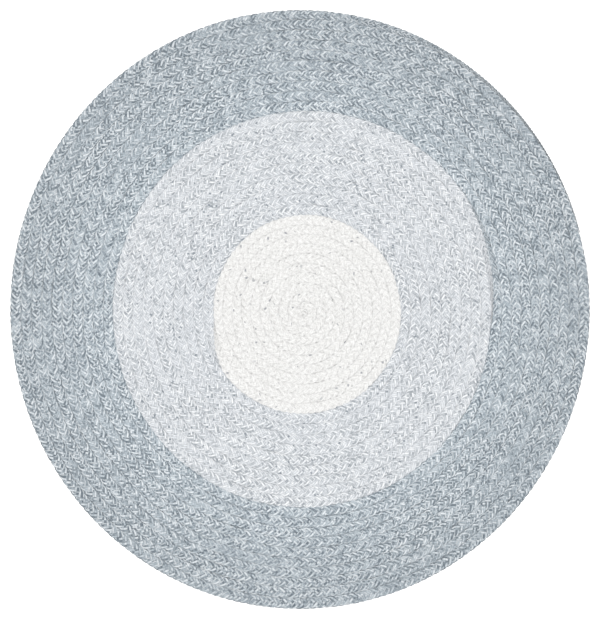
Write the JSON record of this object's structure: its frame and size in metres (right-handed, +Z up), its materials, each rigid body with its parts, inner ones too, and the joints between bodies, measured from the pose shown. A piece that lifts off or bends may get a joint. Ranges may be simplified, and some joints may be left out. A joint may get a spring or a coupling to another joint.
{
  "type": "round braided rug",
  "caption": "Round flat rug of one three-strand braid wound in a spiral, in ivory, pale grey and blue-grey rings, ribbed alike on both faces.",
  "frame": {"origin": "on the floor, under the middle of the rug's outline", "axes": "+Z up, +Y along the slightly longer diameter, +X to the right as seen from above"},
  "size_m": [1.5, 1.55, 0.0118],
  "materials": {
    "ivory_braid": "matt flat braid of ivory yarn with a few cream and slate flecks",
    "pale_grey_braid": "matt flat braid of pale ice-grey melange yarn",
    "blue_grey_braid": "matt flat braid of blue-grey melange yarn with light and slate flecks"
  },
  "bodies": {
    "root": {"centre_coil": "ivory_braid", "middle_coil": "pale_grey_braid", "outer_coil": "blue_grey_braid"}
  },
  "joints": []
}
